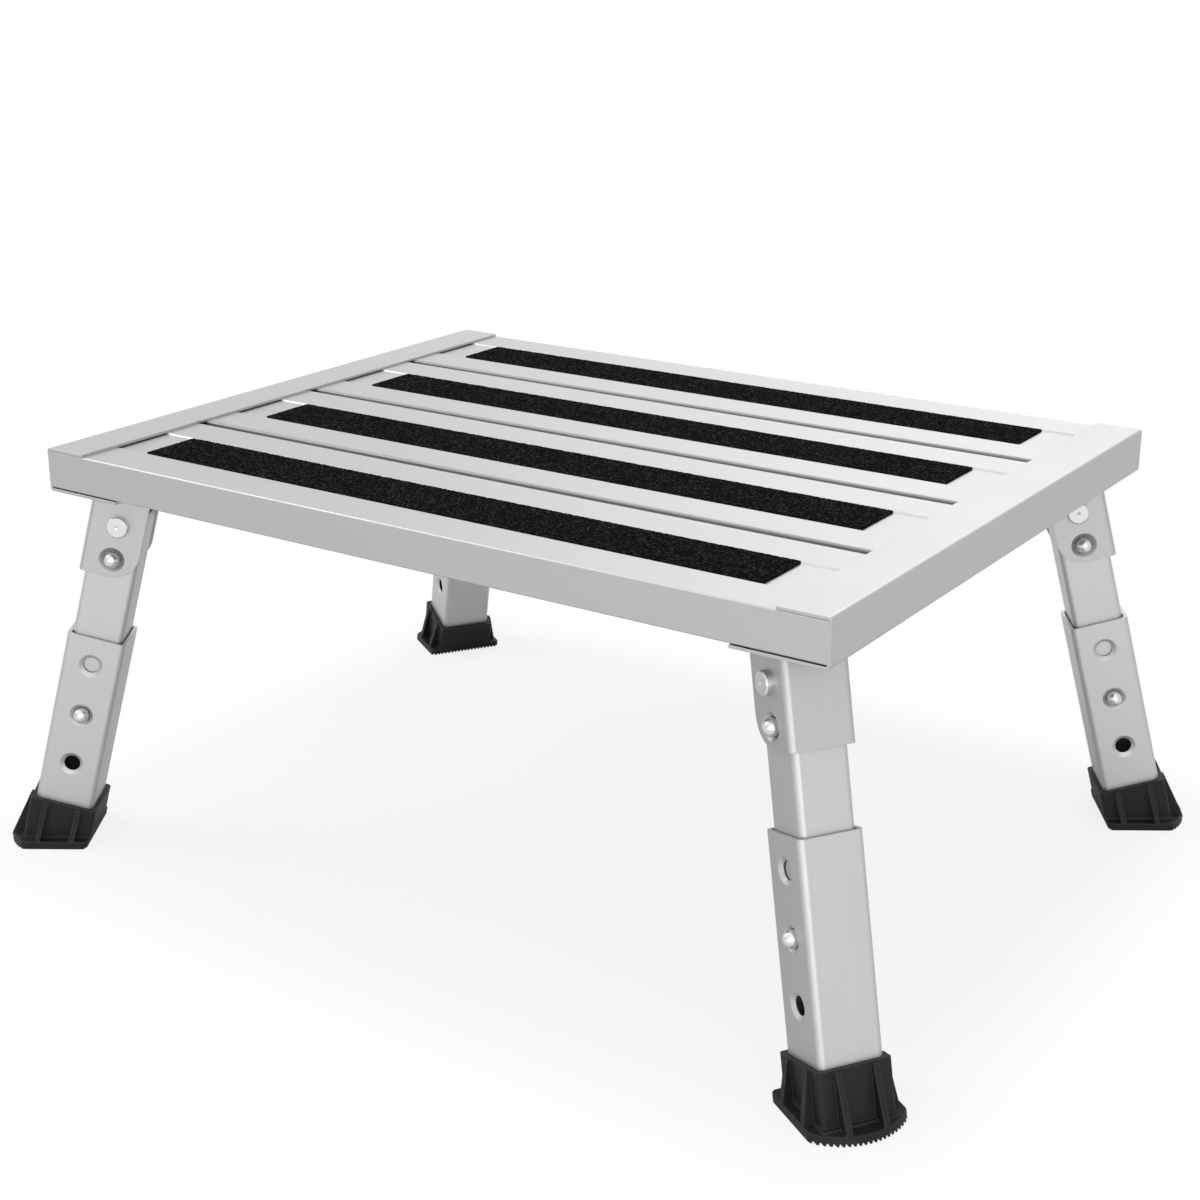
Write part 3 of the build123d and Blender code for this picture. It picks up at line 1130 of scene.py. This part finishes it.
@dataclass
class Studio:
    """Pale floor, soft light and camera.

    Attributes:
        floor_half: Half the floor's side.
        floor_colour: Colour of the floor.
        deck_half: Half the deck's length and half its width, as a corner on the floor.
        white_below: Share of plain white in the floor below the deck.
        mirrored_below: The same share as the metal mirrors it.
        below: How far outside the deck's outline those shares start to rise.
        clear: How far outside it the floor is plain white.
        white: Strength of the plain white that is seen and mirrored around the step.
        sky_level: Strength of the light that those surroundings give.
        lamps: The softboxes.
        eye: Where the camera stands.
        look_at: Point at the middle of its view.
        lens: Focal length of the camera in millimetres.
        sensor: Width of its sensor in millimetres.
    """

    floor_half: float = 40.0
    floor_colour: Colour = (0.92, 0.92, 0.92)
    deck_half: Place = (0.2415, 0.1865, 0.0)
    white_below: float = 0.83
    mirrored_below: float = 0.07
    below: float = 0.01
    clear: float = 0.11
    white: float = 1.0
    sky_level: float = 0.3
    lamps: tuple[Softbox, ...] = (
        Softbox("overhead", (0.0, 0.0, 2.4), (0.0, 0.0, 0.15), 2.4, 2.0, 8.0),
        Softbox("left_high", (-1.35, -0.6, 1.55), (0.0, -0.1, 0.2), 1.0, 1.0, 12.5),
        Softbox("back", (-0.1, 2.1, 1.75), (0.0, 0.0, 0.2), 1.4, 1.1, 7.3),
        Softbox("back_left", (-0.85, 2.05, 1.75), (0.0, 0.0, 0.2), 1.2, 1.1, 5.3),
        Softbox("front_right", (1.25, -1.85, 1.1), (0.0, 0.0, 0.15), 3.2, 2.1, 20.0),
        Softbox("low_right", (1.3, -1.2, 0.18), (0.2, 0.1, 0.1), 1.2, 0.3, 2.5),
        Softbox("low_front", (0.2, -1.9, 0.2), (-0.2, 0.0, 0.1), 1.2, 0.3, 2.2),
    )
    eye: Place = (0.60727, -0.90204, 0.52751)
    look_at: Place = (-0.0024, 0.0, 0.1391)
    lens: float = 60.535
    sensor: float = 36.0

    def build(self) -> None:
        """Lay the floor, set the light and place the camera."""
        self.build_floor()
        self.build_sky()
        for lamp in self.lamps:
            lamp.build()
        self.build_camera()
        bpy.context.scene.view_settings.view_transform = "Standard"

    def build_floor(self) -> None:
        """Lay a floor that is white far away and keeps the step's shadow near it."""
        shape = bmesh.new()
        bmesh.ops.create_grid(shape, x_segments=1, y_segments=1, size=self.floor_half)
        floor = show_shape("floor", shape)
        floor.data.materials.append(self.floor_material())

    @staticmethod
    def rays(sheet: NodeSheet) -> tuple[bpy.types.NodeSocket, bpy.types.NodeSocket]:
        """Tell the camera's own rays from those that metal or glass sends on.

        Args:
            sheet: Sheet of the floor's material or of the surroundings.

        Returns:
            A mask of the camera's rays and a mask of the mirrored rays.
        """
        path = sheet.node("ShaderNodeLightPath").outputs
        mirror = sheet.math("MAXIMUM", path["Is Glossy Ray"], path["Is Transmission Ray"])
        return path["Is Camera Ray"], mirror

    def floor_material(self) -> bpy.types.Material:
        """Make the floor's finish.

        Returns:
            The material.
        """
        material = bpy.data.materials.new("pale_floor")
        material.use_nodes = True
        sheet = NodeSheet(material.node_tree)
        sheet.tree.nodes.clear()
        past = sheet.vector("SUBTRACT", sheet.vector("ABSOLUTE", sheet.place()), self.deck_half)
        past = sheet.vector("MAXIMUM", past)
        away = sheet.node("ShaderNodeVectorMath", {0: past}, operation="LENGTH").outputs["Value"]
        eye, mirror = self.rays(sheet)
        seen_below = sheet.math("MULTIPLY", eye, self.white_below)
        least = sheet.math("ADD", seen_below, sheet.math("MULTIPLY", mirror, self.mirrored_below))
        seen = sheet.math("MAXIMUM", eye, mirror)
        share = sheet.spread(away, (self.below, self.clear), (least, seen), smooth=True)
        paint = sheet.node("ShaderNodeBsdfDiffuse", {"Color": rgba(self.floor_colour)})
        glow = sheet.node("ShaderNodeEmission", {"Color": WHITE, "Strength": self.white})
        mixed = sheet.node(
            "ShaderNodeMixShader",
            {0: share, 1: paint.outputs["BSDF"], 2: glow.outputs["Emission"]},
        )
        sheet.node("ShaderNodeOutputMaterial", {"Surface": mixed.outputs["Shader"]})
        return material

    def build_sky(self) -> None:
        """Surround the step with plain white that gives a soft light."""
        world = bpy.data.worlds.new("soft_surroundings")
        world.use_nodes = True
        sheet = NodeSheet(world.node_tree)
        sheet.tree.nodes.clear()
        eye, mirror = self.rays(sheet)
        seen = sheet.math("MAXIMUM", eye, mirror)
        level = sheet.spread(seen, (0.0, 1.0), (self.sky_level, self.white))
        glow = sheet.node("ShaderNodeBackground", {"Color": WHITE, "Strength": level})
        sheet.node("ShaderNodeOutputWorld", {"Surface": glow.outputs["Background"]})
        bpy.context.scene.world = world

    def build_camera(self) -> None:
        """Place the camera at the photograph's viewing angle."""
        data = bpy.data.cameras.new("camera")
        data.lens = self.lens
        data.sensor_width = self.sensor
        camera = bpy.data.objects.new("camera", data)
        camera.location = self.eye
        camera.rotation_euler = facing(self.eye, self.look_at)
        bpy.context.scene.collection.objects.link(camera)
        bpy.context.scene.camera = camera


def main() -> None:
    """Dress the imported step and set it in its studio."""
    logging.basicConfig(level=logging.INFO, format="%(name)s: %(message)s")
    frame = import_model()
    effects = SharedEffects()
    finishes = Finishes()
    deck = Deck(frame["nodes"])
    deck.build()
    deck.dress(finishes, effects)
    legs = Legs(frame["nodes"], {joint["name"]: joint for joint in frame["joints"]})
    legs.build()
    legs.dress(finishes, effects)
    Studio().build()


if __name__ == "__main__":
    main()
